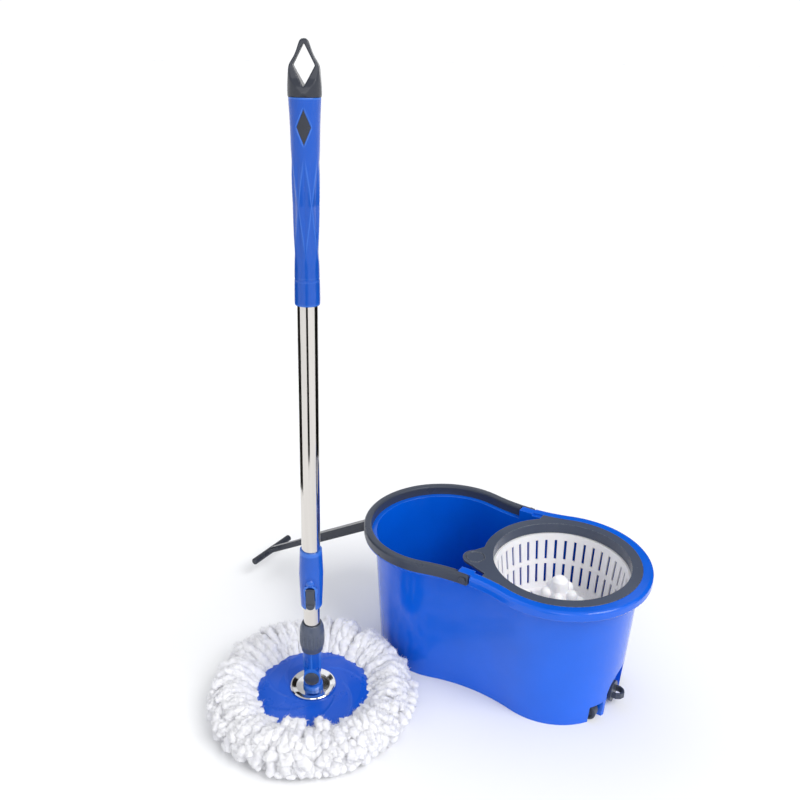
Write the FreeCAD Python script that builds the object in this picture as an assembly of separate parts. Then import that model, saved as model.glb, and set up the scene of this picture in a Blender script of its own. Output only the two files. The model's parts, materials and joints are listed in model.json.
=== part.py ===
import FreeCAD, Part
import math
import os

V = FreeCAD.Vector
os.makedirs("parts", exist_ok=True)

# ---- driving dimensions, millimetres and degrees ----
RIM_Z = 213.2        # top of the bucket rim
LOBE_GAP = 194.0     # distance between the two lobe centres at the rim
R_LEFT = 124.9       # rim radius of the water lobe
R_RIGHT = 127.7      # rim radius of the basket lobe
R_WAIST = 236.5      # concave waist radius at the rim
BASE_GAP = 187.4
BASE_SHIFT = 2.9
R_LEFT_B = 104.8
R_RIGHT_B = 99.6
R_WAIST_B = 252.9
OVERHANG = 16.9      # rim outline to body wall
WALL = 2.5
LIP_H = 15.0
HANDLE_W = 12.0
RING_R = 112.8       # basket plate outer radius
OPEN_R = 98.2        # basket plate opening radius
SKIRT = 16.0
SLOTS = 40
BASKET_FLOOR = 106.0
BAR_TILT = 29.8      # pull bar below horizontal
BAR_PIVOT = (-216.0, 175.6)
SLEEVE_LEN = 155.0
BAR_LEN = 281.0
MOP_X = -168.0
MOP_Y = -249.0
MOP_TURN = 32.7
MOP_LEAN = 1.65
PIVOT_Z = 66.0
TUBE_R = 12.5
INNER_R = 11.2
DISC_R = 81.4
FIBRE_R = 150.0
ROD_LEAD = 100.0

CX_L = -LOBE_GAP / 2
CX_R = LOBE_GAP / 2
FLANGE_Z = RIM_Z - LIP_H


# ---- small helpers ----
def save(name, shape):
    shape.exportStep("parts/" + name + ".step")
    print(name, round(shape.Volume, 1), shape.isValid(), len(shape.Solids))


def box(x0, x1, y0, y1, z0, z1):
    return Part.makeBox(x1 - x0, y1 - y0, z1 - z0, V(x0, y0, z0))


def cyl(r, z0, z1, x=0.0, y=0.0):
    return Part.makeCylinder(r, z1 - z0, V(x, y, z0))


def cyl_y(r, y0, y1, x, z):
    return Part.makeCylinder(r, y1 - y0, V(x, y0, z), V(0, 1, 0))


def cyl_x(r, x0, x1, y, z):
    return Part.makeCylinder(r, x1 - x0, V(x0, y, z), V(1, 0, 0))


def revolve(points, x=0.0, y=0.0):
    pts = [V(x + r, y, z) for r, z in points]
    face = Part.Face(Part.makePolygon(pts + [pts[0]]))
    return face.revolve(V(x, y, 0), V(0, 0, 1), 360)


def prism(points, z0, z1):
    pts = [V(px, py, z0) for px, py in points]
    face = Part.Face(Part.makePolygon(pts + [pts[0]]))
    return face.extrude(V(0, 0, z1 - z0))


def eight_arcs(xl, xr, rl, rr, rw, z):
    """Figure-eight wire: two lobes joined by concave waist arcs."""
    gap = xr - xl
    a = rl + rw
    b = rr + rw
    dx = (a * a - b * b + gap * gap) / (2 * gap)
    dy = math.sqrt(a * a - dx * dx)
    wx = xl + dx
    pl = (xl + dx * rl / a, dy * rl / a)
    k = rr / b
    pr = (xr + (wx - xr) * k, dy * k)
    edges = [
        Part.Arc(V(pl[0], pl[1], z), V(xl - rl, 0, z), V(pl[0], -pl[1], z)).toShape(),
        Part.Arc(V(pl[0], -pl[1], z), V(wx, -(dy - rw), z), V(pr[0], -pr[1], z)).toShape(),
        Part.Arc(V(pr[0], -pr[1], z), V(xr + rr, 0, z), V(pr[0], pr[1], z)).toShape(),
        Part.Arc(V(pr[0], pr[1], z), V(wx, dy - rw, z), V(pl[0], pl[1], z)).toShape(),
    ]
    return Part.Wire(edges)


def rim_wire(offset, z):
    return eight_arcs(CX_L, CX_R, R_LEFT + offset, R_RIGHT + offset, R_WAIST - offset, z)


def base_wire(offset, z):
    xl = BASE_SHIFT - BASE_GAP / 2
    xr = BASE_SHIFT + BASE_GAP / 2
    return eight_arcs(xl, xr, R_LEFT_B + offset, R_RIGHT_B + offset, R_WAIST_B - offset, z)


def rim_prism(offset, z0, z1):
    return Part.Face(rim_wire(offset, z0)).extrude(V(0, 0, z1 - z0))


def rim_band(inner, outer, z0, z1):
    return rim_prism(outer, z0, z1).cut(rim_prism(inner, z0, z1))


def waist_y(x):
    """Half width of the rim outline near the waist."""
    a = R_LEFT + R_WAIST
    b = R_RIGHT + R_WAIST
    dx = (a * a - b * b + LOBE_GAP * LOBE_GAP) / (2 * LOBE_GAP)
    dy = math.sqrt(a * a - dx * dx)
    return dy - math.sqrt(R_WAIST * R_WAIST - (x - CX_L - dx) ** 2)


HINGE_X = -3.0
HINGE_Z = RIM_Z - LIP_H / 2
HINGE_Y = waist_y(HINGE_X)
END_X = 7.2          # where the full blue rim starts at the waist
UP_X = -14.3         # where the blue upstand starts
WHEEL_X = 174.0
WHEEL_Y = 48.0
WHEEL_Z = 12.6
WHEEL_R = 11.6
PLUG_Z = 20.0
POCKET_Z = 34.5
POCKET_R = 32.0
PLUG_X = 184.5


# ---- bucket ----
def bucket_wall(offset, z0):
    return Part.makeLoft([base_wire(offset, z0), rim_wire(offset - OVERHANG, FLANGE_Z)], True, True)


def rounded_rim(top_r, bottom_r):
    """Full rim outline with soft outer edges."""
    solid = rim_prism(0, FLANGE_Z, RIM_Z)
    for z, radius in ((RIM_Z, top_r), (FLANGE_Z, bottom_r)):
        edges = []
        for e in solid.Edges:
            b = e.BoundBox
            if abs(b.ZMin - z) < 0.01 and abs(b.ZMax - z) < 0.01:
                edges.append(e)
        solid = solid.makeFillet(radius, edges)
    return solid


def bucket_rim():
    big = 300
    right = box(END_X, big, -big, big, 0, big)
    rim = rounded_rim(4.5, 3.0).cut(rim_prism(-OVERHANG - WALL, FLANGE_Z, RIM_Z)).common(right)
    cav = rim_band(-OVERHANG, -WALL, FLANGE_Z - 1, RIM_Z - 6.2)
    rim = rim.cut(cav.common(box(END_X + WALL, big, -big, big, 0, big)))
    rebate = rim_prism(-14.5, RIM_Z - 3.6, RIM_Z + 1)
    ring = cyl(RING_R + 0.4, RIM_Z - 3.6, RIM_Z + 1, CX_R, 0)
    rim = rim.cut(rebate.fuse(ring).common(right))
    mid = box(UP_X, END_X, -big, big, 0, big)
    up = rim_band(-OVERHANG - WALL, -6.2, FLANGE_Z, RIM_Z).common(mid)
    left = box(-big, UP_X, -big, big, 0, big)
    flange = rim_band(-OVERHANG - WALL, -0.8, FLANGE_Z - 3.0, FLANGE_Z)
    flange = flange.common(left.fuse(mid))
    rebate = rim_band(-6.2, 2, FLANGE_Z - 5, FLANGE_Z + 1)
    flange = flange.cut(rebate.common(box(-16.5, END_X, -big, big, 0, big)))
    return rim.fuse([up, flange]).removeSplitter()


def wheel_well(sign, grow):
    y0 = WHEEL_Y - 11 - grow
    y1 = WHEEL_Y + 11 + grow
    lo, hi = (y0, y1) if sign > 0 else (-y1, -y0)
    return box(159.0 - grow, 215.0, lo, hi, -1.0, 26.5 + grow)


def bucket_body():
    outer = bucket_wall(0.0, 0.0)
    inner = bucket_wall(-WALL, 0.0).cut(box(-400, 400, -400, 400, -5, 3.0))
    body = outer.cut(inner)
    well = wheel_well(1, 2.5).fuse(wheel_well(-1, 2.5)).common(outer)
    back = PLUG_X - WALL
    skin = POCKET_R + WALL
    pad = cyl_x(skin, back, 230, 0, POCKET_Z).fuse(box(back, 230, -skin, skin, 0, POCKET_Z))
    pad = pad.common(outer)
    boss = cyl(26.0, 2.5, 9.0, CX_R, 0)
    body = body.fuse([well, pad, boss, bucket_rim()])
    body = body.cut(wheel_well(1, 0.0).fuse(wheel_well(-1, 0.0)))
    body = body.cut(cyl_x(POCKET_R, PLUG_X, 230, 0, POCKET_Z))
    body = body.cut(box(PLUG_X, 230, -POCKET_R, POCKET_R, -1, POCKET_Z))
    body = body.cut(cyl_x(7.0, PLUG_X - 10, 230, 0, PLUG_Z))
    body = body.cut(cyl(18.3, 5.0, 10.0, CX_R, 0))
    for s in (-1, 1):
        y0 = s * (HINGE_Y - 14.0)
        y1 = s * (HINGE_Y + 2.0)
        body = body.cut(cyl_y(3.0, min(y0, y1), max(y0, y1), HINGE_X, HINGE_Z))
        body = body.cut(axle(s))
    return body.removeSplitter()


def carry_handle():
    big = 300
    bow = rim_band(-HANDLE_W, 0, FLANGE_Z, RIM_Z)
    main = bow.common(box(-big, -17.2, -big, big, 0, big))
    thin = rim_band(-5.6, 0, FLANGE_Z, RIM_Z).common(box(-17.2, HINGE_X + 7.5, -big, big, 0, big))
    keep = cyl_y(9.3, -big, big, HINGE_X, HINGE_Z)
    keep = keep.fuse(box(-big, HINGE_X, -big, big, 0, big))
    handle = main.fuse(thin.common(keep)).removeSplitter()
    edges = []
    for e in handle.Edges:
        b = e.BoundBox
        flat = abs(b.ZMin - RIM_Z) < 0.01 and abs(b.ZMax - RIM_Z) < 0.01
        if flat and e.Length > 60:
            edges.append(e)
    handle = handle.makeFillet(3.6, edges)
    for s in (-1, 1):
        y0 = s * (HINGE_Y - 16.0)
        y1 = s * (HINGE_Y + 4.0)
        handle = handle.cut(cyl_y(3.4, min(y0, y1), max(y0, y1), HINGE_X, HINGE_Z))
    return handle


def handle_pin(s):
    y0 = s * (HINGE_Y - 13.0)
    y1 = s * (HINGE_Y + 1.2)
    y2 = s * (HINGE_Y + 2.6)
    pin = cyl_y(3.0, min(y0, y2), max(y0, y2), HINGE_X, HINGE_Z)
    head_disc = cyl_y(5.0, min(y1, y2), max(y1, y2), HINGE_X, HINGE_Z)
    return pin.fuse(head_disc).removeSplitter()


def basket_plate():
    z0 = RIM_Z - 3.6
    big = 300
    ring = cyl(RING_R, z0, RIM_Z, CX_R, 0)
    wing = rim_prism(-15.0, z0, RIM_Z)
    near = prism([(24, 0), (24, 120), (75, 120), (75, 0)], z0, RIM_Z)
    far = prism([(20, 0), (20, -120), (75, -120), (75, 0)], z0, RIM_Z)
    wings = wing.common(near.fuse(far))
    ax = math.radians(210.0)
    tx = CX_R + 124.0 * math.cos(ax)
    ty = 124.0 * math.sin(ax)
    tab = cyl(18.0, z0, RIM_Z, tx, ty)
    flank = [(tx - 9, ty + 15.6), (-1, -12), (20, -20), (40, -86), (22, -92), (tx - 3, ty - 17.7)]
    inside = rim_prism(-OVERHANG - WALL - 0.6, z0, RIM_Z)
    side = prism(flank, z0, RIM_Z)
    side = side.common(inside.fuse(box(END_X + 1, big, -big, big, z0, big)))
    side = side.common(wing)
    plate = ring.fuse([wings, tab, side])
    skirt = cyl(OPEN_R + 2.4, RIM_Z - SKIRT, RIM_Z, CX_R, 0)
    guide = cyl(106.6, z0 - 8, RIM_Z, CX_R, 0).cut(cyl(104.6, z0 - 9, z0, CX_R, 0))
    plate = plate.fuse([skirt, guide.common(box(60, big, -big, big, 0, big))])
    plate = plate.cut(cyl(OPEN_R, 0, big, CX_R, 0))
    groove = cyl(14.0, RIM_Z - 1.3, RIM_Z + 1, tx, ty).cut(cyl(12.4, 0, big, tx, ty))
    return plate.cut(groove).removeSplitter()


def basket():
    top = RIM_Z - SKIRT - 0.7
    f = BASKET_FLOOR
    pts = [(95.6, top - 2.2), (95.6, top), (100.4, top), (100.4, top - 2.4), (98.0, top - 2.6),
           (88.0, f - 2.4), (40, f - 2.4), (26, f + 6), (17.0, f + 42), (13.0, f + 52), (13.0, f + 2),
           (6.0, f + 2), (6.0, f + 66), (5.0, f + 68), (0.0, f + 68), (0.0, f + 77), (7, f + 76),
           (11.5, f + 71.5), (12.8, f + 66), (13.5, f + 56), (19, f + 44), (28.5, f + 8), (41, f),
           (85.8, f)]
    cup = revolve(pts, CX_R, 0)
    lobes = []
    for count, reach, radius, height in ((5, 19.0, 8.6, 51.0), (5, 30.0, 9.6, 31.0)):
        for i in range(count):
            a = 2 * math.pi * (i + 0.5 * (reach > 25)) / count
            x = CX_R + reach * math.cos(a)
            y = reach * math.sin(a)
            lobe = cyl(radius, f - 1, f + height, x, y)
            lobes.append(lobe.fuse(Part.makeSphere(radius, V(x, y, f + height))))
    ribs = lobes[0].fuse(lobes[1:])
    cup = cup.fuse(ribs.cut(cyl(13.1, f - 5, f + 80, CX_R, 0)))
    cut = []
    for z0, z1 in ((153.5, 186.0), (114.5, 146.5)):
        cut.append(box(80, 104, -2.0, 2.0, z0, z1))
    cut.append(box(58, 78, -1.8, 1.8, f - 5, f + 2))
    rows = []
    for i in range(SLOTS):
        for c in cut[:2]:
            rows.append(c)
        if i % 4 == 0:
            rows.append(cut[2])
        cut = [c.copy() for c in cut]
        for c in cut:
            c.rotate(V(0, 0, 0), V(0, 0, 1), 360.0 / SLOTS)
    slots = Part.makeCompound(rows)
    slots.translate(V(CX_R, 0, 0))
    return cup.cut(slots)


def hub_bush():
    f = BASKET_FLOOR
    return cyl(6.0, f + 4, f + 30, CX_R, 0).cut(cyl(4.4, f, f + 40, CX_R, 0))


def spindle():
    f = BASKET_FLOOR
    return cyl(4.0, f - 30, f + 60, CX_R, 0)


def spindle_post():
    f = BASKET_FLOOR
    pts = [(0, 5.2), (18.0, 5.2), (18.0, 12), (12, 22), (9.5, f - 6), (0, f - 6)]
    post = revolve(pts, CX_R, 0)
    return post.cut(cyl(4.0, f - 30, f + 1, CX_R, 0))


def drain_plug():
    z = PLUG_Z
    neck = cyl_x(11.5, PLUG_X, PLUG_X + 6.0, 0, z)
    disc = cyl_x(15.5, PLUG_X + 5.0, PLUG_X + 9.0, 0, z).fuse(neck)
    stem = cyl_x(6.6, PLUG_X - 9.0, PLUG_X + 2, 0, z)
    root = PLUG_X + 8.0
    pts = [(root, -10.0), (200, -10.0), (206, -6.5), (209, 0)]
    pts += [(206, 6.5), (200, 10.0), (root, 10.0)]
    hole = [(root + 0.9, -7.2), (199, -7.2), (203.8, -4.8), (206, 0)]
    hole += [(203.8, 4.8), (199, 7.2), (root + 0.9, 7.2)]
    loop = prism(pts, z - 4.5, z + 4.5).cut(prism(hole, z - 5, z + 5))
    plug = disc.fuse([stem, loop])
    groove = cyl_x(10.5, PLUG_X - 1, PLUG_X + 1.2, 0, z).cut(cyl_x(8.5, PLUG_X - 2, PLUG_X + 3, 0, z))
    return plug.cut(groove).removeSplitter()


def plug_seal():
    z = PLUG_Z
    return cyl_x(10.5, PLUG_X, PLUG_X + 1.2, 0, z).cut(cyl_x(8.5, PLUG_X - 2, PLUG_X + 3, 0, z))


def wheel(s):
    w = cyl_y(WHEEL_R, s * WHEEL_Y - 6, s * WHEEL_Y + 6, WHEEL_X, WHEEL_Z)
    for e in (-1, 1):
        y0 = s * WHEEL_Y + e * 6
        dish = cyl_y(8.2, min(y0, y0 - e * 1.5), max(y0, y0 - e * 1.5), WHEEL_X, WHEEL_Z)
        dish = dish.cut(cyl_y(4.2, s * WHEEL_Y - 7, s * WHEEL_Y + 7, WHEEL_X, WHEEL_Z))
        w = w.cut(dish)
    return w.cut(cyl_y(2.5, s * WHEEL_Y - 7, s * WHEEL_Y + 7, WHEEL_X, WHEEL_Z))


def axle(s):
    return cyl_y(2.1, s * WHEEL_Y - 12.8, s * WHEEL_Y + 12.8, WHEEL_X, WHEEL_Z)


# ---- pull bar ----
def along(shape):
    """Lay a shape built along -X from the hinge down the bar's slope."""
    px, pz = BAR_PIVOT
    shape.rotate(V(0, 0, 0), V(0, 1, 0), -BAR_TILT)
    shape.translate(V(px, 0, pz))
    return shape


def bar_bracket():
    px, pz = BAR_PIVOT
    plate = box(px + 8.2, -190, -18, 18, pz - 16, pz + 14)
    ears = []
    for y0, y1 in ((-13, -9), (9, 13)):
        e = box(px, px + 10, y0, y1, pz - 8, pz + 8).fuse(cyl_y(8.0, y0, y1, px, pz))
        ears.append(e)
    bracket = plate.fuse(ears)
    bracket = bracket.cut(bucket_wall(0.0, 0.0))
    bracket = bracket.cut(cyl_y(2.5, -20, 20, px, pz))
    keep = box(px - 20, -190, -30, 30, pz - 20, pz + 18)
    parts = bracket.common(keep).Solids
    return max(parts, key=lambda s: s.Volume)


def bar_pin():
    px, pz = BAR_PIVOT
    pin = cyl_y(2.5, -13, 14.5, px, pz)
    return pin.fuse(cyl_y(4.2, -15.0, -13, px, pz)).removeSplitter()


def pull_sleeve():
    body = box(-SLEEVE_LEN, 0, -6.6, 6.6, -7.5, 7.5)
    eye = cyl_y(7.5, -8.4, 8.4, 0, 0)
    body = body.fuse(eye)
    body = body.cut(box(-SLEEVE_LEN - 1, -11, -4.3, 4.3, -5.3, 5.3))
    body = body.cut(cyl_y(2.9, -10, 10, 0, 0))
    for s in (-1, 1):
        side = box(-SLEEVE_LEN + 12, -14, min(s * 5.8, s * 8), max(s * 5.8, s * 8), -4.5, 4.5)
        body = body.cut(side)
    return along(body)


def pull_rod():
    rod = box(-BAR_LEN, -96, -4.0, 4.0, -5.0, 5.0)
    bar = cyl_y(5.9, -49, 49, -BAR_LEN, 0)
    ends = [e for e in bar.Edges if abs(abs(e.BoundBox.YMin) - 49) < 0.1 and e.BoundBox.YLength < 1]
    bar = bar.makeFillet(2.2, ends)
    gus = Part.Face(Part.makePolygon([V(-BAR_LEN, -17, 0), V(-BAR_LEN + 22, -4, 0), V(-BAR_LEN + 22, 4, 0),
                                      V(-BAR_LEN, 17, 0), V(-BAR_LEN, -17, 0)]))
    gus = gus.extrude(V(0, 0, 6.0))
    gus.translate(V(0, 0, -3.0))
    return along(rod.fuse([bar, gus]).removeSplitter())


# ---- mop ----
def head(shape):
    shape.rotate(V(0, 0, 0), V(0, 0, 1), MOP_TURN)
    shape.translate(V(MOP_X, MOP_Y, 0))
    return shape


def pole(shape):
    """Place a shape built upright above the swivel pin at the origin."""
    shape.rotate(V(0, 0, 0), V(0, 1, 0), MOP_LEAN)
    shape.rotate(V(0, 0, 0), V(0, 0, 1), MOP_TURN)
    shape.translate(V(MOP_X, MOP_Y, PIVOT_Z))
    return shape


def fibre_head():
    pts = [(50, 0), (143, 0), (FIBRE_R, 7), (FIBRE_R - 1, 24), (138, 42), (118, 51), (98, 48), (86, 39),
           (83.5, 29.4), (70, 29.4), (50, 29.4)]
    return head(revolve(pts))


def clip_ring():
    return head(revolve([(46, 29.4), (70, 29.4), (70, 33.2), (62, 33.2), (62, 35.4), (58, 35.4), (58, 33.2),
                         (46, 33.2)]))


def mop_disc():
    pts = [(0, 40.2), (30, 40.2), (58, 38.4), (66, 37.2), (66, 33.2), (72.5, 33.2), (72.5, 36.4)]
    pts += [(79.2, 34.0), (79.2, 31.0), (DISC_R, 31.0), (DISC_R, 37.4), (80.6, 38.3), (70, 40.9)]
    pts += [(50, 42.9), (34, 43.4), (0, 43.4)]
    disc = revolve(pts)
    return head(disc.cut(cyl(2.6, 30, 50)))


def dish_ring():
    pts = [(14.2, 43.4), (30.0, 43.4), (32.4, 44.2), (32.6, 46.0), (31.6, 47.2), (30.2, 46.9)]
    pts += [(24, 44.9), (14.2, 44.4)]
    return head(revolve(pts))


def swivel_base():
    foot = revolve([(0, 43.4), (13.8, 43.4), (13.8, 49.0), (11.5, 50.4), (0, 50.4)])
    lug = box(-11, 11, -6.5, 6.5, 48, PIVOT_Z).fuse(cyl_y(11.0, -6.5, 6.5, 0, PIVOT_Z))
    base = foot.fuse(lug).cut(cyl_y(3.5, -20, 20, 0, PIVOT_Z))
    return head(base.cut(cyl(2.0, 40, 54)).removeSplitter())


def disc_screw():
    screw = cyl(2.0, 38, 53).fuse(cyl(4.5, 37.0, 40.2))
    return head(screw.removeSplitter())


def connector():
    barrel = revolve([(0, 12.2), (11.4, 12.2), (13.0, 13.4), (13.0, 60), (10.2, 60), (10.2, 86), (0, 86)])
    body = barrel
    for y0, y1 in ((-13.0, -7.0), (7.0, 13.0)):
        cheek = cyl_y(11.8, y0, y1, 0, 0).fuse(box(-10.6, 10.6, y0, y1, 0, 16))
        body = body.fuse(cheek)
    body = body.cut(cyl_y(3.0, -20, 20, 0, 0))
    return pole(body.removeSplitter())


def swivel_pin():
    pin = cyl_y(3.0, -13.0, 13.0, 0, 0)
    knob = Part.makeSphere(24.0, V(0, 7.0, 0))
    knob = knob.common(cyl_y(10.4, -20.0, -13.0, 0, 0))
    back = cyl_y(5.5, 13.0, 15.0, 0, 0)
    return pole(pin.fuse([knob, back]).removeSplitter())


def coupling_nut():
    pts = [(13.35, 43.4), (15.0, 43.4), (15.6, 46.5), (17.2, 54), (17.5, 60), (17.2, 74), (16.4, 81),
           (14.4, 86.5), (13.4, 88), (11.65, 88), (11.65, 61.5), (13.35, 60.6)]
    nut = revolve(pts)
    flutes = []
    for i in range(18):
        a = 2 * math.pi * i / 18
        flutes.append(cyl(1.7, 48, 75, 18.3 * math.cos(a), 18.3 * math.sin(a)))
    return pole(nut.cut(Part.makeCompound(flutes)))


def tube(ro, ri, z0, z1):
    return cyl(ro, z0, z1).cut(cyl(ri, z0 - 1, z1 + 1))


def inner_tube():
    return pole(tube(INNER_R, 10.2, 60.0, 580.0))


def ratchet_housing():
    h = revolve([(5.0, 546), (10.2, 546), (10.2, 580), (8.3, 580), (8.3, 550), (5.0, 550)])
    return pole(h)


def ratchet_spring():
    turns = 2.8
    pitch = 3.0
    coil_r = 6.6
    points = []
    for i in range(int(turns * 24) + 1):
        a = 2 * math.pi * i / 24
        points.append(V(coil_r * math.cos(a), coil_r * math.sin(a), pitch * i / 24))
    curve = Part.BSplineCurve()
    curve.interpolate(points)
    tangent = curve.tangent(curve.FirstParameter)[0]
    ring = Part.Wire([Part.makeCircle(0.6, points[0], tangent)])
    path = Part.Wire([curve.toShape()])
    spring = path.makePipeShell([ring], True, True)
    spring.translate(V(0, 0, 550.8))
    return pole(spring)


def ratchet_ring():
    ring = revolve([(4.9, 560.2), (8.0, 560.2), (8.0, 563.6), (4.9, 563.6)])
    teeth = []
    for i in range(8):
        a = 2 * math.pi * i / 8
        t = box(5.4, 7.6, -1.0, 1.0, 563.4, 564.6)
        t.rotate(V(0, 0, 0), V(0, 0, 1), math.degrees(a))
        teeth.append(t)
    return pole(ring.fuse(teeth).removeSplitter())


def drive_nut():
    return pole(revolve([(4.5, 565.0), (7.9, 565.0), (7.9, 575.0), (4.5, 575.0)]))


def top_bush():
    pts = [(4.9, 576.0), (8.3, 576.0), (8.3, 580.0), (11.3, 580.0), (11.3, 586.0), (4.9, 586.0)]
    return pole(revolve(pts))


def twisted_rod():
    z0 = 220.0
    z1 = 752.0
    steps = 64
    wires = []
    for i in range(steps + 1):
        z = z0 + (z1 - z0) * i / steps
        a = 2 * math.pi * (z - z0) / ROD_LEAD
        pts = []
        for px, py in ((3.4, 2.0), (-3.4, 2.0), (-3.4, -2.0), (3.4, -2.0)):
            qx = px * math.cos(a) - py * math.sin(a)
            qy = px * math.sin(a) + py * math.cos(a)
            pts.append(V(qx, qy, z))
        wires.append(Part.makePolygon(pts + [pts[0]]))
    rod = Part.makeLoft(wires, True, True)
    rod = rod.fuse(cyl(3.9, z1 - 4, z1 + 16)).removeSplitter()
    return pole(rod.cut(cyl_y(1.5, -20, 20, 0, 760.0)))


def rod_plug():
    plug = cyl(11.7, 750.0, 772.0).cut(cyl(3.9, 745, 768))
    plug = plug.cut(cyl_y(1.5, -20, 20, 0, 760.0))
    return pole(plug)


def outer_tube():
    return pole(tube(TUBE_R, 11.7, 131.0, 772.0).cut(cyl_y(1.5, -20, 20, 0, 760.0)))


def rod_pin():
    return pole(cyl_y(1.5, -12.4, 12.4, 0, 760.0))


GRIP = [(546, 14.9), (549, 15.2), (563, 15.1), (587, 14.6), (610, 14.1), (645, 14.4), (667, 14.8),
        (700, 15.6), (721, 16.0), (745, 16.5), (760, 17.1), (773.5, 17.8), (777, 17.9)]


def grip_solid(shrink):
    pts = [(r - shrink, z) for z, r in GRIP]
    return revolve([(0, 546)] + pts + [(0, 777)])


def rhombus(w, z0, z1, y0, y1):
    zm = (z0 + z1) / 2
    pts = [V(0, y0, z0), V(w / 2, y0, zm), V(0, y0, z1), V(-w / 2, y0, zm), V(0, y0, z0)]
    return Part.Face(Part.makePolygon(pts)).extrude(V(0, y1 - y0, 0))


def grip():
    g = grip_solid(0.0)
    g = g.cut(cyl(TUBE_R, 540, 772.0))
    pocket = rhombus(16.6, 727.5, 765.5, -30, 0).cut(grip_solid(2.4))
    g = g.cut(pocket)
    return pole(g.cut(cyl(10.4, 770, 780)))


def grip_inset():
    plate = rhombus(16.0, 728.2, 764.8, -30, 0).common(grip_solid(0.7))
    return pole(plate.cut(grip_solid(2.4)))


def hang_cap():
    front = [(0, 777), (18.0, 777), (18.6, 781.6), (18.1, 789.7), (17.3, 797.7), (16.4, 805.7), (15.6, 809.6),
             (13.2, 813.6), (10.7, 817.5), (8.8, 821.4), (7.3, 825.3), (6.0, 829.1), (4.6, 833), (2.4, 835.2),
             (0, 835.6)]
    pts = [V(x, -20, z) for x, z in front] + [V(-x, -20, z) for x, z in reversed(front[1:-1])]
    slab = Part.Face(Part.makePolygon(pts + [pts[0]])).extrude(V(0, 40, 0))
    side = [(0, 777), (18.0, 777), (18.6, 781.6), (16.4, 788), (12.0, 796), (9.0, 806), (7.2, 818)]
    side += [(6.0, 830), (4.6, 834.4), (0, 835.6)]
    pts = [V(-20, y, z) for y, z in side] + [V(-20, -y, z) for y, z in reversed(side[1:-1])]
    depth = Part.Face(Part.makePolygon(pts + [pts[0]])).extrude(V(40, 0, 0))
    cap = slab.common(depth)
    cap = cap.common(cyl(18.6, 776, 840))
    hole = [V(0, -30, 787.0), V(12.0, -30, 809.0), V(0, -30, 831.0), V(-12.0, -30, 809.0), V(0, -30, 787.0)]
    hole = Part.Face(Part.makePolygon(hole)).extrude(V(0, 60, 0))
    cap = cap.cut(hole)
    return pole(cap.fuse(cyl(10.4, 773.0, 777.5)).removeSplitter())


SLEEVE = [(117, 13.6), (119, 14.6), (135, 15.2), (152, 16.0), (170, 16.4), (185, 15.9), (207, 14.8)]


def lock_sleeve():
    pts = [(r, z) for z, r in SLEEVE]
    body = revolve([(TUBE_R, 131.0)] + [(13.3, 131.0), (13.3, 117.0)] + pts + [(TUBE_R, 207)])
    slot = box(-6.6, 6.6, -30, 0, 110, 151.0).fuse(cyl_y(6.6, -30, 0, 0, 151.0))
    slot = slot.cut(cyl(12.9, 100, 220))
    ear = cyl_y(9.2, -18.2, -12.6, 0, 151.0).fuse(box(-9.2, 9.2, -18.2, -12.6, 141, 151))
    knob = Part.makeSphere(6.4, V(0, -13.0, 162.0))
    ear = ear.common(cyl(18.4, 140, 165)).fuse(knob)
    body = body.fuse(ear.cut(cyl(TUBE_R, 100, 230)))
    body = body.cut(slot)
    pin = Part.makeCylinder(1.0, 20, V(-8, -15.3, 151.0), V(1, 0, 0))
    return pole(body.cut(pin).removeSplitter())


def lever_pin():
    return pole(Part.makeCylinder(1.0, 15.0, V(-7.5, -15.3, 151.0), V(1, 0, 0)))


def lock_lever():
    y0 = -17.4
    y1 = -13.3
    half = 5.8
    slab = box(-half, half, y0, y1, 127.5, 151.0).fuse(cyl_y(half, y0, y1, 0, 127.5))
    slab = slab.fuse(Part.makeCylinder(2.05, 2 * half, V(-half, -15.3, 151.0), V(1, 0, 0)))
    nose = cyl_y(half, y0 - 1.6, y0 + 1, 0, 127.5).common(box(-half, half, -30, 0, 116, 129))
    lever = slab.fuse(nose)
    return pole(lever.cut(Part.makeCylinder(1.35, 20, V(-10, -15.3, 151.0), V(1, 0, 0))).removeSplitter())


def guide_bush():
    return pole(tube(12.8, 11.6, 117.5, 130.2))


PARTS = {
    "bucket_body": bucket_body, "carry_handle": carry_handle,
    "basket_plate": basket_plate, "basket": basket, "hub_bush": hub_bush, "spindle": spindle,
    "spindle_post": spindle_post, "drain_plug": drain_plug, "plug_seal": plug_seal,
    "bar_bracket": bar_bracket, "bar_pin": bar_pin, "pull_sleeve": pull_sleeve, "pull_rod": pull_rod,
    "fibre_head": fibre_head, "clip_ring": clip_ring, "mop_disc": mop_disc, "dish_ring": dish_ring,
    "swivel_base": swivel_base, "disc_screw": disc_screw, "connector": connector, "swivel_pin": swivel_pin,
    "coupling_nut": coupling_nut, "inner_tube": inner_tube, "ratchet_housing": ratchet_housing,
    "ratchet_spring": ratchet_spring, "ratchet_ring": ratchet_ring, "drive_nut": drive_nut,
    "top_bush": top_bush, "twisted_rod": twisted_rod, "rod_plug": rod_plug, "outer_tube": outer_tube,
    "rod_pin": rod_pin, "grip": grip, "grip_inset": grip_inset, "hang_cap": hang_cap,
    "lock_sleeve": lock_sleeve, "lever_pin": lever_pin, "lock_lever": lock_lever, "guide_bush": guide_bush,
}
for part_name, make in PARTS.items():
    save(part_name, make())
for side_name, s in (("near", -1), ("far", 1)):
    save("handle_pin_" + side_name, handle_pin(s))
    save("wheel_" + side_name, wheel(s))
    save("axle_" + side_name, axle(s))
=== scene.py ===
import json
import math
import random

import bmesh
import bpy
from mathutils import Matrix, Vector, noise


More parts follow.
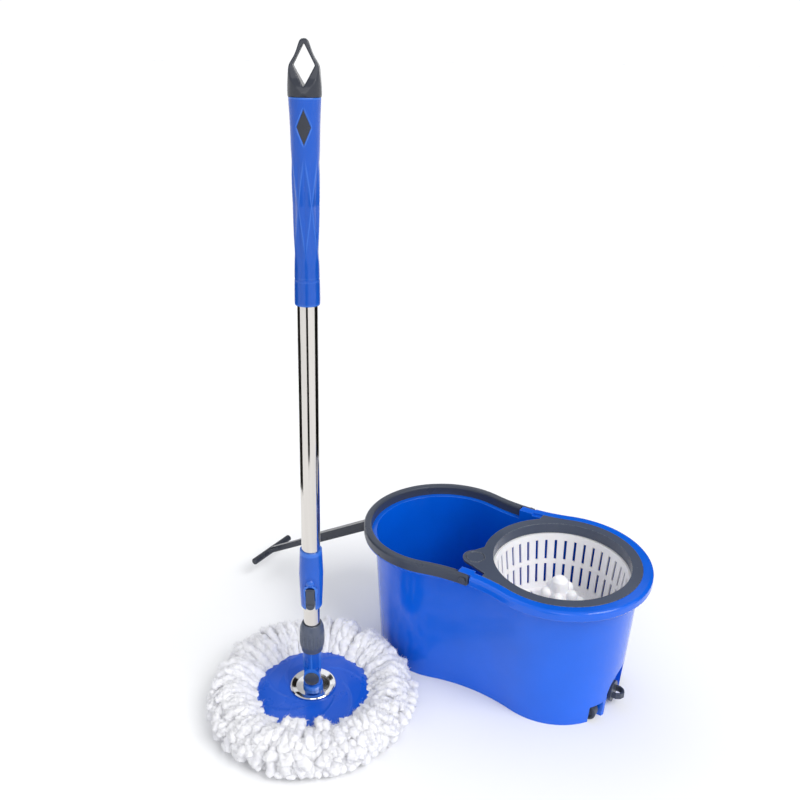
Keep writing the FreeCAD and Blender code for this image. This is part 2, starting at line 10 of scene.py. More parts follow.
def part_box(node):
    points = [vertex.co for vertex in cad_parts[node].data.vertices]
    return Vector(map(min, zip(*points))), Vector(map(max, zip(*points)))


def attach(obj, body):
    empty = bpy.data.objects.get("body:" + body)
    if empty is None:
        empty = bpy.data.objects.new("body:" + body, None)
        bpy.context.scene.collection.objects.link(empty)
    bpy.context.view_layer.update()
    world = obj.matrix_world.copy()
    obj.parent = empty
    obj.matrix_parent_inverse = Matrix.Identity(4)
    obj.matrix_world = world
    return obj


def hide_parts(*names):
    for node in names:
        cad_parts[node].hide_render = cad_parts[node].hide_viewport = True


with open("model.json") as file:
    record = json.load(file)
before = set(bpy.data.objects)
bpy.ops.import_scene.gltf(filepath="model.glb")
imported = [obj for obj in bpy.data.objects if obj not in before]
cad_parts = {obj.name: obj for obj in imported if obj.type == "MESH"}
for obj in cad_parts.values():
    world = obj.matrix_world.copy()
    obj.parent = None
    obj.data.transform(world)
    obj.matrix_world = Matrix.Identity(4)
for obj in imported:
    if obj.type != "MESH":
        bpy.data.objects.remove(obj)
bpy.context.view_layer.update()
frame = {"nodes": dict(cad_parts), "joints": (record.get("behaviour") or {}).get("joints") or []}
nodes = frame["nodes"]
joints = {j["name"]: j for j in frame["joints"]}
rng = random.Random(11)

MM = 0.001

# Directions around the mop head, in degrees.
FRONT_BEARING = -57.3
BACK_BEARING = 122.7
SIDE_BEARING = 212.7

# The hairs of the microfibre pile, in metres.
PILE_COUNT = 190000
PILE_LENGTH = (0.0022, 0.0066)
PILE_HALF_WIDTH = 0.00028
PILE_CLEAR = 0.0003

# The yarn's least height over the floor, in metres.
YARN_CLEAR = 0.0004

# The grip, in millimetres: its lower end above the swivel pin along the pole, its length and bore,
# and the rhombi of its relief. SKIN_FLOOR limits how deep the relief cuts.
GRIP_LOW = 546.0
GRIP_LENGTH = 231.0
GRIP_BORE = 12.5
GRIP_STEPS = 190
RHOMBI_AROUND = 6
RHOMBUS_MIDDLE = 662.0
RHOMBUS_PITCH = 112.0
SKIN_FLOOR = 12.3

# The mop disc's swirl relief, in millimetres.
SWIRL_ARMS = 7
SWIRL_IN = 36
SWIRL_SPAN = 44

# Dark studio flags that only glossy rays see, around the pole: bearing and spread in degrees,
# then distance, bottom and top in metres.
FLAGS = (
    ("flag_front", -57, 26, 0.80, 0.01, 0.55),
    ("flag_right", 58, 58, 0.80, 0.01, 0.55),
    ("flag_left", 188, 58, 0.80, 0.01, 0.55),
    ("flag_high_a", 100, 16, 1.7, 0.9, 2.1),
    ("flag_high_b", 138, 12, 1.7, 0.9, 2.1),
    ("flag_high_c", 30, 24, 1.7, 0.9, 2.1),
    ("flag_back", 121, 12, 1.7, 0.45, 0.74),
    ("flag_low_left", 188, 66, 0.34, 0.19, 0.46),
    ("flag_low_right", 56, 52, 0.34, 0.24, 0.46),
)


# ---------------------------------------------------------------- camera and studio

def camera():
    data = bpy.data.cameras.new("camera")
    data.lens = 38.25
    data.sensor_width = 36.0
    data.clip_end = 50.0
    cam = bpy.data.objects.new("camera", data)
    cam.location = (0.462, -0.9979, 0.8958)
    cam.rotation_euler = (math.radians(90 - 22.76), 0.0, math.radians(32.73))
    bpy.context.scene.collection.objects.link(cam)
    bpy.context.scene.camera = cam


def area_light(name, place, aim, size, size_y, power):
    data = bpy.data.lights.new(name, "AREA")
    data.energy = power
    data.shape = "RECTANGLE"
    data.size = size
    data.size_y = size_y
    lamp = bpy.data.objects.new(name, data)
    lamp.location = place
    lamp.rotation_euler = (Vector(aim) - Vector(place)).to_track_quat("-Z", "Y").to_euler()
    bpy.context.scene.collection.objects.link(lamp)


def sun_light(name, toward, strength, spread, colour):
    data = bpy.data.lights.new(name, "SUN")
    data.energy = strength
    data.angle = math.radians(spread)
    data.color = colour
    lamp = bpy.data.objects.new(name, data)
    lamp.rotation_euler = Vector(toward).to_track_quat("Z", "Y").to_euler()
    bpy.context.scene.collection.objects.link(lamp)


def new_tree(mat):
    mat.use_nodes = True
    tree = mat.node_tree
    tree.nodes.clear()
    return tree


def srgb(r, g, b):
    out = []
    for c in (r, g, b):
        c = c / 255.0
        out.append(c / 12.92 if c <= 0.04045 else ((c + 0.055) / 1.055) ** 2.4)
    return tuple(out) + (1.0,)


def studio():
    world = bpy.data.worlds.new("studio")
    bpy.context.scene.world = world
    world.use_nodes = True
    tree = world.node_tree
    tree.nodes.clear()
    out = tree.nodes.new("ShaderNodeOutputWorld")
    back = tree.nodes.new("ShaderNodeBackground")
    place = tree.nodes.new("ShaderNodeTexCoord")
    split = tree.nodes.new("ShaderNodeSeparateXYZ")
    fade = tree.nodes.new("ShaderNodeMapRange")
    fade.interpolation_type = "SMOOTHSTEP"
    fade.inputs["From Min"].default_value = 0.20
    fade.inputs["From Max"].default_value = 0.62
    fade.inputs["To Min"].default_value = 1.05
    fade.inputs["To Max"].default_value = 0.60
    back.inputs["Color"].default_value = (0.985, 0.99, 1.0, 1.0)
    tree.links.new(place.outputs["Generated"], split.inputs["Vector"])
    tree.links.new(split.outputs["Z"], fade.inputs["Value"])
    tree.links.new(fade.outputs["Result"], back.inputs["Strength"])
    tree.links.new(back.outputs["Background"], out.inputs["Surface"])
    sun_light("soft_sun", (0.70, -0.08, 0.70), 1.75, 34.0, (1.0, 0.995, 0.98))
    sun_light("soft_left", (-0.60, 0.20, 0.80), 0.30, 50.0, (0.94, 0.96, 1.0))
    area_light("window", (0.9, -1.7, 1.5), (0.1, 0.0, 0.15), 0.9, 1.5, 7)
    bpy.context.scene.view_settings.view_transform = "Standard"


def flag(name, bearing, spread, away, bottom, height):
    """A dark studio flag that only glossy rays see, on an arc around the pole."""
    low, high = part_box("fibre_head")
    middle = Vector(((low.x + high.x) / 2, (low.y + high.y) / 2, 0))
    bm = bmesh.new()
    columns = []
    for i in range(9):
        a = math.radians(bearing - spread / 2 + spread * i / 8)
        side = middle + Vector((math.cos(a), math.sin(a), 0)) * away
        foot = bm.verts.new(side + Vector((0, 0, bottom)))
        head = bm.verts.new(side + Vector((0, 0, height)))
        columns.append((foot, head))
    for (a, b), (c, d) in zip(columns, columns[1:]):
        bm.faces.new((a, b, d, c))
    mesh = bpy.data.meshes.new(name)
    bm.to_mesh(mesh)
    bm.free()
    obj = bpy.data.objects.new(name, mesh)
    bpy.context.scene.collection.objects.link(obj)
    mat = bpy.data.materials.new(name)
    tree = new_tree(mat)
    out = tree.nodes.new("ShaderNodeOutputMaterial")
    shader = tree.nodes.new("ShaderNodeBsdfDiffuse")
    shader.inputs["Color"].default_value = (0.012, 0.011, 0.010, 1.0)
    tree.links.new(shader.outputs["BSDF"], out.inputs["Surface"])
    mesh.materials.append(mat)
    obj.visible_camera = False
    obj.visible_diffuse = False
    obj.visible_shadow = False
    obj.visible_transmission = False


def floor():
    mesh = bpy.data.meshes.new("floor")
    bm = bmesh.new()
    bmesh.ops.create_grid(bm, x_segments=4, y_segments=4, size=40.0)
    bm.to_mesh(mesh)
    bm.free()
    obj = bpy.data.objects.new("floor", mesh)
    bpy.context.scene.collection.objects.link(obj)
    mat = bpy.data.materials.new("floor")
    tree = new_tree(mat)
    out = tree.nodes.new("ShaderNodeOutputMaterial")
    shader = tree.nodes.new("ShaderNodeBsdfPrincipled")
    shader.inputs["Base Color"].default_value = (0.90, 0.905, 0.915, 1.0)
    shader.inputs["Roughness"].default_value = 0.6
    shader.inputs["Specular IOR Level"].default_value = 0.0
    tree.links.new(shader.outputs["BSDF"], out.inputs["Surface"])
    mesh.materials.append(mat)


# ---------------------------------------------------------------- materials

class Shader:
    """A Principled material built from small procedural layers."""

    def __init__(self, name):
        self.mat = bpy.data.materials.new(name)
        self.tree = new_tree(self.mat)
        self.out = self.add("ShaderNodeOutputMaterial")
        self.bsdf = self.add("ShaderNodeBsdfPrincipled")
        self.link(self.bsdf.outputs["BSDF"], self.out.inputs["Surface"])
        self.place = self.add("ShaderNodeTexCoord").outputs["Object"]
        self.normal = None

    def add(self, kind, **values):
        node = self.tree.nodes.new(kind)
        for key, value in values.items():
            setattr(node, key, value)
        return node

    def link(self, a, b):
        self.tree.links.new(a, b)

    def mapped(self, scale):
        node = self.add("ShaderNodeMapping")
        node.inputs["Scale"].default_value = scale
        self.link(self.place, node.inputs["Vector"])
        return node.outputs["Vector"]

    def noise(self, scale, detail=3.0, rough=0.55, vector=None):
        node = self.add("ShaderNodeTexNoise")
        node.inputs["Scale"].default_value = scale
        node.inputs["Detail"].default_value = detail
        node.inputs["Roughness"].default_value = rough
        self.link(vector or self.place, node.inputs["Vector"])
        return node.outputs["Fac"]

    def ramp(self, value, low, high, a=0.0, b=1.0):
        node = self.add("ShaderNodeMapRange")
        node.inputs["From Min"].default_value = low
        node.inputs["From Max"].default_value = high
        node.inputs["To Min"].default_value = a
        node.inputs["To Max"].default_value = b
        self.link(value, node.inputs["Value"])
        return node.outputs["Result"]

    def math(self, op, a, b=None, clamp=False):
        node = self.add("ShaderNodeMath", operation=op, use_clamp=clamp)
        for socket, value in ((node.inputs[0], a), (node.inputs[1], b)):
            if value is None:
                continue
            if isinstance(value, (int, float)):
                socket.default_value = value
            else:
                self.link(value, socket)
        return node.outputs["Value"]

    def mix(self, factor, a, b):
        node = self.add("ShaderNodeMix", data_type="RGBA")
        self.link(factor, node.inputs["Factor"])
        for socket, value in ((node.inputs[6], a), (node.inputs[7], b)):
            if isinstance(value, tuple):
                socket.default_value = value
            else:
                self.link(value, socket)
        return node.outputs[2]

    def rounded(self, radius):
        """Softens sharp edges in the shading, and returns how near an edge each point is."""
        bevel = self.add("ShaderNodeBevel", samples=6)
        bevel.inputs["Radius"].default_value = radius
        geo = self.add("ShaderNodeNewGeometry")
        dot = self.add("ShaderNodeVectorMath", operation="DOT_PRODUCT")
        self.link(bevel.outputs["Normal"], dot.inputs[0])
        self.link(geo.outputs["Normal"], dot.inputs[1])
        self.normal = bevel.outputs["Normal"]
        return self.ramp(dot.outputs["Value"], 0.995, 0.80)

    def bump(self, height, strength, distance):
        node = self.add("ShaderNodeBump")
        node.inputs["Strength"].default_value = strength
        node.inputs["Distance"].default_value = distance
        self.link(height, node.inputs["Height"])
        if self.normal is not None:
            self.link(self.normal, node.inputs["Normal"])
        self.normal = node.outputs["Normal"]

    def finish(self, **values):
        for key, value in values.items():
            socket = self.bsdf.inputs[key.replace("_", " ")]
            if isinstance(value, (int, float, tuple)):
                socket.default_value = value
            else:
                self.link(value, socket)
        if self.normal is not None:
            self.link(self.normal, self.bsdf.inputs["Normal"])
        return self.mat


def moulded(name, base, pale, rough=0.22, grain=0.25, grain_scale=900.0, coat=0.0, edge=0.0012,
            edge_wear_and_highlight=0.35, scuff=0.12, sss=0.0, ridge_highlight_and_hollow_shade=0.0):
    """Moulded plastic: faint flow clouds, pale edges that are partly rubbed wear and partly a painted
    highlight, optionally a painted highlight on ridges with painted shade in hollows, fine scuffs and an
    orange-peel skin.
    """
    s = Shader(name)
    near_edge = s.rounded(edge)
    cloud = s.noise(7.0, 4.0)
    speck = s.noise(240.0, 2.0)
    dark = tuple(c * 0.86 for c in base[:3]) + (1.0,)
    colour = s.mix(s.ramp(cloud, 0.3, 0.7), dark, base)
    # Pale speckled edges: partly rubbed wear and partly a painted highlight along the edges.
    edge_wear_and_highlight_mask = s.math("MULTIPLY", near_edge, s.ramp(speck, 0.35, 0.6))
    colour = s.mix(s.math("MULTIPLY", edge_wear_and_highlight_mask, edge_wear_and_highlight), colour, pale)
    if ridge_highlight_and_hollow_shade:
        # Painted highlight on convex ridges and painted shade in hollows, from the mesh's pointiness; the
        # shade mixes towards dark.
        shape = s.add("ShaderNodeNewGeometry").outputs["Pointiness"]
        colour = s.mix(s.ramp(shape, 0.505, 0.53, 0.0, ridge_highlight_and_hollow_shade), colour, pale)
        colour = s.mix(s.ramp(shape, 0.495, 0.47, 0.0, ridge_highlight_and_hollow_shade), colour, dark)
    streak = s.noise(60.0, 5.0, 0.7, s.mapped((1.0, 1.0, 0.12)))
    marks = s.ramp(streak, 0.62, 0.78)
    smudge = s.ramp(s.noise(22.0, 3.0), 0.35, 0.7, 0.0, scuff * 0.5)
    base_rough = s.math("ADD", smudge, rough)
    roughness = s.math("ADD", base_rough, s.math("MULTIPLY", marks, scuff), True)
    s.bump(s.noise(grain_scale, 2.0), grain, 0.0002)
    s.bump(s.noise(38.0, 1.0), 0.12, 0.0008)
    return s.finish(Base_Color=colour, Roughness=roughness, Coat_Weight=coat, Coat_Roughness=0.08,
                    Specular_IOR_Level=0.42, Subsurface_Weight=sss, Subsurface_Radius=(0.004, 0.006, 0.01),
                    Subsurface_Scale=1.0 if sss else 0.0)


def metal(name, base, dark, rough, lines, bump=0.1, ring=(1.0, 1.0, 40.0)):
    """Drawn or polished metal: fine lines along one way, finger smudges, darker specks and a painted
    highlight along the edges.
    """
    s = Shader(name)
    near_edge = s.rounded(0.0004)
    fine = s.noise(55.0, 4.0, 0.6, s.mapped(ring))
    smudge = s.noise(14.0, 4.0)
    colour = s.mix(s.ramp(fine, 0.3, 0.75), dark, base)
    # Painted highlight: the base colour turns pale near edges.
    colour = s.mix(s.math("MULTIPLY", near_edge, 0.5), colour, (0.95, 0.95, 0.96, 1.0))
    roughness = s.math("ADD", s.ramp(fine, 0.3, 0.7, rough, rough + lines),
                       s.ramp(smudge, 0.45, 0.75, 0.0, 0.06), True)
    s.bump(fine, bump, 0.00005)
    return s.finish(Base_Color=colour, Roughness=roughness, Metallic=1.0)


def fibre_yarn():
    """White microfibre pile: soft loops as fine bumps, painted grey shade in the hollows and a light sheen.
    """
    s = Shader("yarn")
    loop = s.add("ShaderNodeTexVoronoi", feature="F1")
    loop.inputs["Scale"].default_value = 420.0
    s.link(s.place, loop.inputs["Vector"])
    fuzz = s.noise(1500.0, 4.0, 0.7)
    tone = s.noise(30.0, 3.0)
    pale = (0.88, 0.88, 0.91, 1.0)
    colour = s.mix(s.ramp(tone, 0.3, 0.7), (0.80, 0.80, 0.84, 1.0), pale)
    # Painted shade: greyer towards the hollows between the loops.
    colour = s.mix(s.ramp(loop.outputs["Distance"], 0.35, 0.9, 0.0, 0.25), colour, (0.70, 0.71, 0.76, 1.0))
    s.bump(loop.outputs["Distance"], -0.9, 0.0016)
    s.bump(fuzz, 0.6, 0.0006)
    rough = s.ramp(fuzz, 0.3, 0.7, 0.82, 1.0)
    return s.finish(Base_Color=colour, Roughness=rough, Sheen_Weight=0.5, Sheen_Roughness=0.4,
                    Subsurface_Weight=0.3, Subsurface_Radius=(0.003, 0.003, 0.0033),
                    Subsurface_Scale=1.0, Specular_IOR_Level=0.2)


def rubber():
    s = Shader("rubber")
    s.rounded(0.0003)
    tone = s.noise(120.0, 3.0)
    colour = s.mix(s.ramp(tone, 0.3, 0.7), (0.012, 0.012, 0.014, 1.0), (0.03, 0.03, 0.034, 1.0))
    s.bump(s.noise(1400.0, 2.0), 0.3, 0.0002)
    return s.finish(Base_Color=colour, Roughness=s.ramp(tone, 0.2, 0.8, 0.55, 0.8))


def materials():
    blue = srgb(2, 96, 222)
    blue_pale = srgb(88, 150, 240)
    slate = srgb(60, 67, 82)
    slate_pale = srgb(132, 139, 150)
    m = {
        "blue": moulded("blue_gloss", blue, blue_pale, rough=0.17, coat=0.15, grain=0.07, edge=0.0016),
        # blue_satin and blue_disc paint a highlight on ridges and shade in hollows.
        "blue_soft": moulded("blue_satin", srgb(4, 80, 184), blue_pale, rough=0.2, coat=0.15, grain=0.12,
                             edge=0.0003, ridge_highlight_and_hollow_shade=0.3),
        "blue_disc": moulded("blue_disc", srgb(10, 84, 200), blue_pale, rough=0.26, coat=0.1, grain=0.1,
                             edge=0.0003, ridge_highlight_and_hollow_shade=0.35),
        "slate": moulded("slate_satin", slate, slate_pale, rough=0.27, grain=0.25, grain_scale=1300.0,
                         edge=0.0014, scuff=0.16),
        # The plate's pale edges are partly wear and partly a painted highlight.
        "plate": moulded("slate_plate", srgb(76, 84, 102), slate_pale, rough=0.2, grain=0.25,
                         grain_scale=1300.0, edge=0.0018, edge_wear_and_highlight=0.6, scuff=0.1),
        "dark": moulded("slate_dark", srgb(46, 50, 60), slate_pale, rough=0.22, grain=0.3,
                        grain_scale=1300.0, edge=0.001),
        "white": moulded("white_moulded", (0.95, 0.95, 0.985, 1.0), (0.97, 0.97, 0.98, 1.0), rough=0.28,
                         grain=0.12, edge=0.0008, sss=0.12),
        "nylon": moulded("white_nylon", (0.72, 0.72, 0.70, 1.0), (0.85, 0.85, 0.83, 1.0), rough=0.4,
                         grain=0.3, edge=0.0005),
        "tube": metal("tube_steel", (0.80, 0.77, 0.73, 1.0), (0.60, 0.57, 0.54, 1.0), 0.05, 0.05,
                      0.05, (1.0, 1.0, 0.03)),
        "polished": metal("polished_steel", (0.86, 0.86, 0.87, 1.0), (0.70, 0.70, 0.72, 1.0), 0.04, 0.04),
        "drawn": metal("drawn_steel", (0.60, 0.60, 0.61, 1.0), (0.42, 0.42, 0.43, 1.0), 0.22, 0.15, 0.3),
        "yarn": fibre_yarn(),
        "rubber": rubber(),
    }
    return m


BY_NODE = {
    "blue": ["bucket_body", "mop_disc"],
    "blue_soft": ["grip", "connector", "lock_sleeve", "swivel_base"],
    "plate": ["basket_plate", "coupling_nut"],
    "slate": ["carry_handle", "lock_lever", "drain_plug", "wheel_near",
              "wheel_far", "bar_bracket", "handle_pin_near", "handle_pin_far", "swivel_pin"],
    "dark": ["hang_cap", "grip_inset", "pull_sleeve", "pull_rod", "spindle_post"],
    "white": ["basket", "hub_bush"],
    "nylon": ["top_bush", "rod_plug", "guide_bush", "ratchet_housing", "ratchet_ring", "drive_nut",
              "clip_ring"],
    "tube": ["inner_tube", "outer_tube"],
    "polished": ["dish_ring", "spindle"],
    "drawn": ["axle_near", "axle_far", "bar_pin", "lever_pin", "rod_pin", "disc_screw",
              "ratchet_spring", "twisted_rod"],
    "yarn": ["fibre_head"],
    "rubber": ["plug_seal"],
}


def dress_nodes(mats):
    chosen = {}
    for key, names in BY_NODE.items():
        for name in names:
            chosen[name] = key
    for name, obj in nodes.items():
        mat = mats[chosen.get(name, "slate")]
        if obj.data.materials:
            for i in range(len(obj.data.materials)):
                obj.data.materials[i] = mat
        else:
            obj.data.materials.append(mat)


# ---------------------------------------------------------------- helpers for new pieces

def add_piece(name, bm, mat, body, replaces):
    mesh = bpy.data.meshes.new(name)
    bm.to_mesh(mesh)
    bm.free()
    obj = bpy.data.objects.new(name, mesh)
    bpy.context.scene.collection.objects.link(obj)
    mesh.materials.append(mat)
    for p in mesh.polygons:
        p.use_smooth = True
    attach(obj, body)
    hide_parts(replaces)
    return obj


def pole_frame():
    """The pole's own frame: origin on the swivel pin, Y along the pin and Z up the pole."""
    swivel = joints["head_swivel"]
    slide = joints["handle_slide"]
    y = Vector(swivel["axis"]).normalized()
    z = Vector(slide["axis"]).normalized()
    x = y.cross(z).normalized()
    m = Matrix((x, y, z)).transposed().to_4x4()
    m.translation = Vector(swivel["pos_m"])
    return m


def lathe(bm, rings_in, around, point_at, matrix):
    """Joins rings of points into one closed skin; point_at(angle, ring) gives a point's radius and height."""
    rings = []
    for k in range(rings_in):
        ring = []
        for i in range(around):
            a = 2 * math.pi * i / around
            r, z = point_at(a, k)
            ring.append(bm.verts.new(matrix @ Vector((r * math.cos(a), r * math.sin(a), z))))
        rings.append(ring)
    for k in range(rings_in):
        low = rings[k]
        high = rings[(k + 1) % rings_in]
        for i in range(around):
            j = (i + 1) % around
            bm.faces.new((low[i], low[j], high[j], high[i]))


# ---------------------------------------------------------------- microfibre head

def yarn(bm, points, radius, seed, around=12):
    """One chenille cord: a lumpy closed tube that follows the points."""
    count = len(points)
    side = None
    rings = []
    for k, p in enumerate(points):
        a = points[max(k - 1, 0)]
        b = points[min(k + 1, count - 1)]
        along = (b - a).normalized()
        if side is None:
            side = along.cross(Vector((0, 0, 1))).normalized()
        side = (side - along * side.dot(along)).normalized()
        up = along.cross(side)
        t = k / (count - 1)
        end = min(1.0, math.sqrt(max(0.0, 1 - ((t - 0.93) / 0.07) ** 2))) if t > 0.93 else 1.0
        ring = []
        for i in range(around):
            ang = 2 * math.pi * i / around
            d = side * math.cos(ang) + up * math.sin(ang)
            q = p + d * radius
            lump = noise.noise(q * 110.0 + Vector((seed, 0, 0)))
            knot = noise.noise(q * 260.0 + Vector((0, seed, 0)))
            fine = noise.noise(q * 620.0 + Vector((0, 0, seed)))
            r = radius * max(end, 0.12) * (1 + 0.50 * lump + 0.22 * knot + 0.32 * fine)
            spot = p + d * r
            spot.z = max(spot.z, YARN_CLEAR)
            ring.append(bm.verts.new(spot))
        rings.append(ring)
    for k in range(count - 1):
        for i in range(around):
            j = (i + 1) % around
            bm.faces.new((rings[k][i], rings[k][j], rings[k + 1][j], rings[k + 1][i]))
    bm.faces.new(list(reversed(rings[0])))
    bm.faces.new(rings[-1])


def pile(bm):
    """Short soft hairs standing out of the yarn, as thin blades."""
    bm.normal_update()
    bm.faces.ensure_lookup_table()
    skins = [f for f in bm.faces if len(f.verts) == 4]
    for _ in range(PILE_COUNT):
        face = skins[rng.randrange(len(skins))]
        u = rng.random()
        v = rng.random()
        a, b, c, d = (vert.co for vert in face.verts)
        root = a.lerp(b, u).lerp(d.lerp(c, u), v)
        if root.z < 0.002:
            continue
        lean = Vector((rng.uniform(-1, 1), rng.uniform(-1, 1), rng.uniform(-1, 1))) * 0.9
        way = (face.normal + lean).normalized()
        across = way.cross(Vector((rng.uniform(-1, 1), rng.uniform(-1, 1), rng.uniform(-1, 1)))).normalized()
        tip = root + way * rng.uniform(*PILE_LENGTH)
        tip.z = max(tip.z, PILE_CLEAR)
        half = across * PILE_HALF_WIDTH
        bm.faces.new((bm.verts.new(root - half), bm.verts.new(root + half), bm.verts.new(tip)))


def bezier(points, count):
    """A smooth run through a few control points, by repeated blending."""
    out = []
    for k in range(count):
        t = k / (count - 1)
        row = list(points)
        while len(row) > 1:
            row = [row[i].lerp(row[i + 1], t) for i in range(len(row) - 1)]
        out.append(row[0])
    return out


def spot(centre, angle, r, z):
    """The point at a bearing, a radius and a height in millimetres around the head's axis."""
    return centre + Vector((r * math.cos(angle), r * math.sin(angle), z)) * MM


def ring_cords(bm, centre):
    """The cords that run out from the clip ring, in layers from the inner side to the outer."""
    layers = (
        # cords, run in and out as (radius, height) pairs, tip scatter, yarn radius
        (50, ((60, 16), (80, 20), (96, 54), (126, 66), (142, 40), (141, 9)), 9, 7.6),
        (54, ((60, 14), (82, 17), (102, 44), (128, 58), (143, 36), (142, 7)), 8, 7.4),
        (56, ((58, 12), (84, 14), (112, 36), (136, 30), (142, 6)), 7, 7.0),
        (44, ((56, 8), (90, 8), (120, 12), (141, 7)), 8, 7.0),
        (58, ((80, 18), (98, 42), (112, 60), (126, 54), (136, 46)), 12, 6.2),
        (60, ((96, 22), (116, 40), (134, 44), (143, 30), (141, 18)), 6, 6.4),
    )
    for level, (count, route, scatter, thick) in enumerate(layers):
        for i in range(count):
            a = 2 * math.pi * (i + 0.5 * (level % 2) + rng.uniform(-0.35, 0.35)) / count
            bend = rng.uniform(-0.13, 0.13)
            out_by = rng.uniform(-scatter, scatter * 0.3)
            lift = rng.uniform(-5.0, 4.0)
            rad = thick * rng.uniform(0.85, 1.15)
            run = []
            last = len(route) - 1
            back = math.cos(a - math.radians(BACK_BEARING))
            aside = math.cos(a - math.radians(SIDE_BEARING))
            for k, (r, z) in enumerate(route):
                share = k / last
                r += (7.5 * back + 4.5 * aside) * share
                z += 9.0 * max(0.0, back) * math.sin(math.pi * share)
                ang = a + bend * share * share + rng.uniform(-0.02, 0.02)
                high_k = max(z + lift * math.sin(math.pi * share), rad * 0.9)
                run.append(spot(centre, ang, r + out_by * share, high_k))
            yarn(bm, bezier(run, 40), rad * MM, rng.uniform(0, 50))


def loose_ends(bm, centre):
    """Short ends that stand up out of the ring, most of them on its front side."""
    for i in range(150):
        a = math.radians(FRONT_BEARING) + rng.uniform(-1.0, 1.0) * (1.5 if i % 3 else math.pi)
        away = math.cos(a - math.radians(BACK_BEARING))
        r = 100 + (42 + 5 * away) * math.sqrt(rng.random())
        top = 50 - 0.0145 * max(0.0, r - 112) ** 2 * 1.25
        lean = rng.uniform(6, 20)
        turn = rng.uniform(-0.12, 0.12)
        rise = rng.uniform(-2, 5)
        run = [
            spot(centre, a, r - lean, top - 20),
            spot(centre, a + turn * 0.4, r - lean * 0.2, top - 2 + rise),
            spot(centre, a + turn, r + 3, top - 1 + rise),
            spot(centre, a + turn * 1.3, r + 7, top - 8),
        ]
        yarn(bm, bezier(run, 18), rng.uniform(0.0058, 0.0078), rng.uniform(0, 50))


def inward_cords(bm, centre):
    """The few cords that curl back over the disc's edge."""
    for ang, r in ((-1.31, 79), (-1.20, 82), (-1.09, 80), (-0.80, 78), (-0.72, 84)):
        run = []
        for share, z in ((0, 30), (0.35, 54), (0.75, 56), (1, 49)):
            run.append(spot(centre, ang, 112 + (r - 112) * share, z))
        yarn(bm, bezier(run, 22), 0.0062, ang)


def keep_round(bm, centre, limit):
    """Pulls in everything that stands past a radius around the head's axis."""
    for v in bm.verts:
        d = Vector((v.co.x - centre.x, v.co.y - centre.y))
        if d.length > limit:
            d = d.normalized() * limit
            v.co.x = centre.x + d.x
            v.co.y = centre.y + d.y


def fibre_cords(mats):
    low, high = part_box("fibre_head")
    centre = Vector(((low.x + high.x) / 2, (low.y + high.y) / 2, 0))
    bm = bmesh.new()
    ring_cords(bm, centre)
    loose_ends(bm, centre)
    inward_cords(bm, centre)
    pile(bm)
    keep_round(bm, centre, (high.x - low.x) / 2 + 6 * MM)
    add_piece("microfibre_cords", bm, mats["yarn"], "mop_head", "fibre_head")


# ---------------------------------------------------------------- grip with faceted relief

def grip_relief(mats, m):
    """The grip with its band of shallow rhombi and the pocket of its inset."""
    profile = ((546, 14.9), (549, 15.2), (563, 15.1), (587, 14.6), (610, 14.1), (645, 14.4), (667, 14.8),
               (700, 15.6), (721, 16.0), (745, 16.5), (760, 17.1), (773.5, 17.8), (777, 17.9))

    def skin(z):
        for (z0, r0), (z1, r1) in zip(profile, profile[1:]):
            if z0 <= z <= z1:
                return r0 + (r1 - r0) * (z - z0) / (z1 - z0)
        return profile[-1][1]

    heights = [GRIP_LOW + GRIP_LENGTH * k / GRIP_STEPS for k in range(GRIP_STEPS + 1)]
    bore = ((10.5, 776.9), (10.5, 772.0), (GRIP_BORE, 771.9), (GRIP_BORE, 546.1))

    def point_at(a, k):
        if k >= len(heights):
            r, z = bore[k - len(heights)]
            return r * MM, z * MM
        z = heights[k]
        r = skin(z)
        r -= 0.55 * math.exp(-((z - 577.0) / 0.8) ** 2)
        fade = min(1.0, max(0.0, (z - 590) / 30), max(0.0, (724 - z) / 30))
        fade = fade * fade * (3 - 2 * fade)
        u = (a + math.pi / 2) / (2 * math.pi) * RHOMBI_AROUND
        v = (z - RHOMBUS_MIDDLE) / RHOMBUS_PITCH
        best = 9.0
        for du, dv in ((0, 0), (0.5, 0.5)):
            x = (u - du) - round(u - du)
            y = (v - dv) - round(v - dv)
            best = min(best, (abs(x) + abs(y)) * 2)
        r += fade * (0.6 - min(2.4, skin(z) - SKIN_FLOOR) * (1 - min(best, 1.0) ** 1.2))
        across = (((a + math.pi / 2 + math.pi) % (2 * math.pi)) - math.pi) * 16.6
        d = abs(across) / 8.9 + abs(z - 746.5) / 19.6
        if d < 1.0:
            r -= min(1.6, (1 - d) * 14)
        return r * MM, z * MM

    bm = bmesh.new()
    lathe(bm, len(heights) + len(bore), 144, point_at, m)
    add_piece("grip_faceted", bm, mats["blue_soft"], "upper_pole", "grip")


# ---------------------------------------------------------------- mop disc with swirl relief

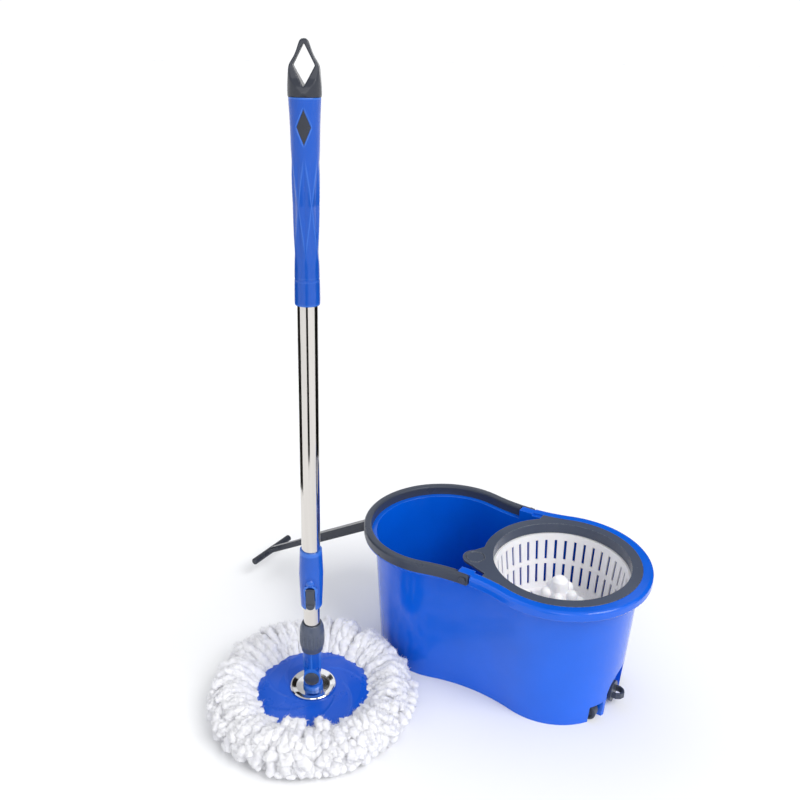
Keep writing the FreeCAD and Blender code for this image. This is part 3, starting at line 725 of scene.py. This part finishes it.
def swirl_disc(mats):
    """The mop disc with its curved arms in low relief."""
    low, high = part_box("mop_disc")
    place = Matrix.Translation(((low.x + high.x) / 2, (low.y + high.y) / 2, 0))
    top = ((2.6, 43.4), (34, 43.4), (50, 42.9), (70, 40.9), (80.2, 38.5))
    under = ((81.0, 38.0), (81.35, 37.4), (81.4, 36.6), (81.4, 31.4), (81.0, 31.0), (79.2, 31.0),
             (79.2, 34.0), (72.5, 36.4), (72.5, 33.2), (66, 33.2), (66, 37.2), (58, 38.4), (30, 40.2),
             (2.6, 40.2))
    rings = [(2.6, 43.4), (20.0, 43.4)]
    for i in range(57):
        r = 33.0 + 47.2 * i / 56
        for (r0, z0), (r1, z1) in zip(top, top[1:]):
            if r0 <= r <= r1:
                rings.append((r, z0 + (z1 - z0) * (r - r0) / (r1 - r0)))
                break
    upper = len(rings)
    rings += under

    def point_at(a, k):
        r, z = rings[k]
        if k < upper and r > 34:
            fade = min(1.0, (r - SWIRL_IN) / 8, (79 - r) / 4)
            sweep = 1.5 * (max(0.0, r - SWIRL_IN) / SWIRL_SPAN) ** 0.8
            turn = (a * SWIRL_ARMS / (2 * math.pi) + sweep) % 1.0
            crest = min(turn / 0.16, (1 - turn) / 0.84)
            z += 0.75 * max(0.0, fade) * (crest ** 1.4 - 0.35)
        return r * MM, z * MM

    bm = bmesh.new()
    lathe(bm, len(rings), 252, point_at, place)
    bmesh.ops.recalc_face_normals(bm, faces=bm.faces)
    obj = add_piece("disc_swirled", bm, mats["blue_disc"], "mop_head", "mop_disc")
    obj.data.set_sharp_from_angle(angle=math.radians(40))


# ---------------------------------------------------------------- small shape finishing on CAD nodes

def round_cap():
    """Rounds the hanging cap's skin with modifiers, which leave its CAD mesh as it is."""
    mod = nodes["hang_cap"].modifiers.new("skin", "REMESH")
    mod.mode = "VOXEL"
    mod.voxel_size = 0.0006
    mod.use_smooth_shade = True
    ease = nodes["hang_cap"].modifiers.new("ease", "SMOOTH")
    ease.factor = 0.5
    ease.iterations = 14


camera()
studio()
floor()
for card in FLAGS:
    flag(*card)
mats = materials()
dress_nodes(mats)
fibre_cords(mats)
grip_relief(mats, pole_frame())
swirl_disc(mats)
round_cap()
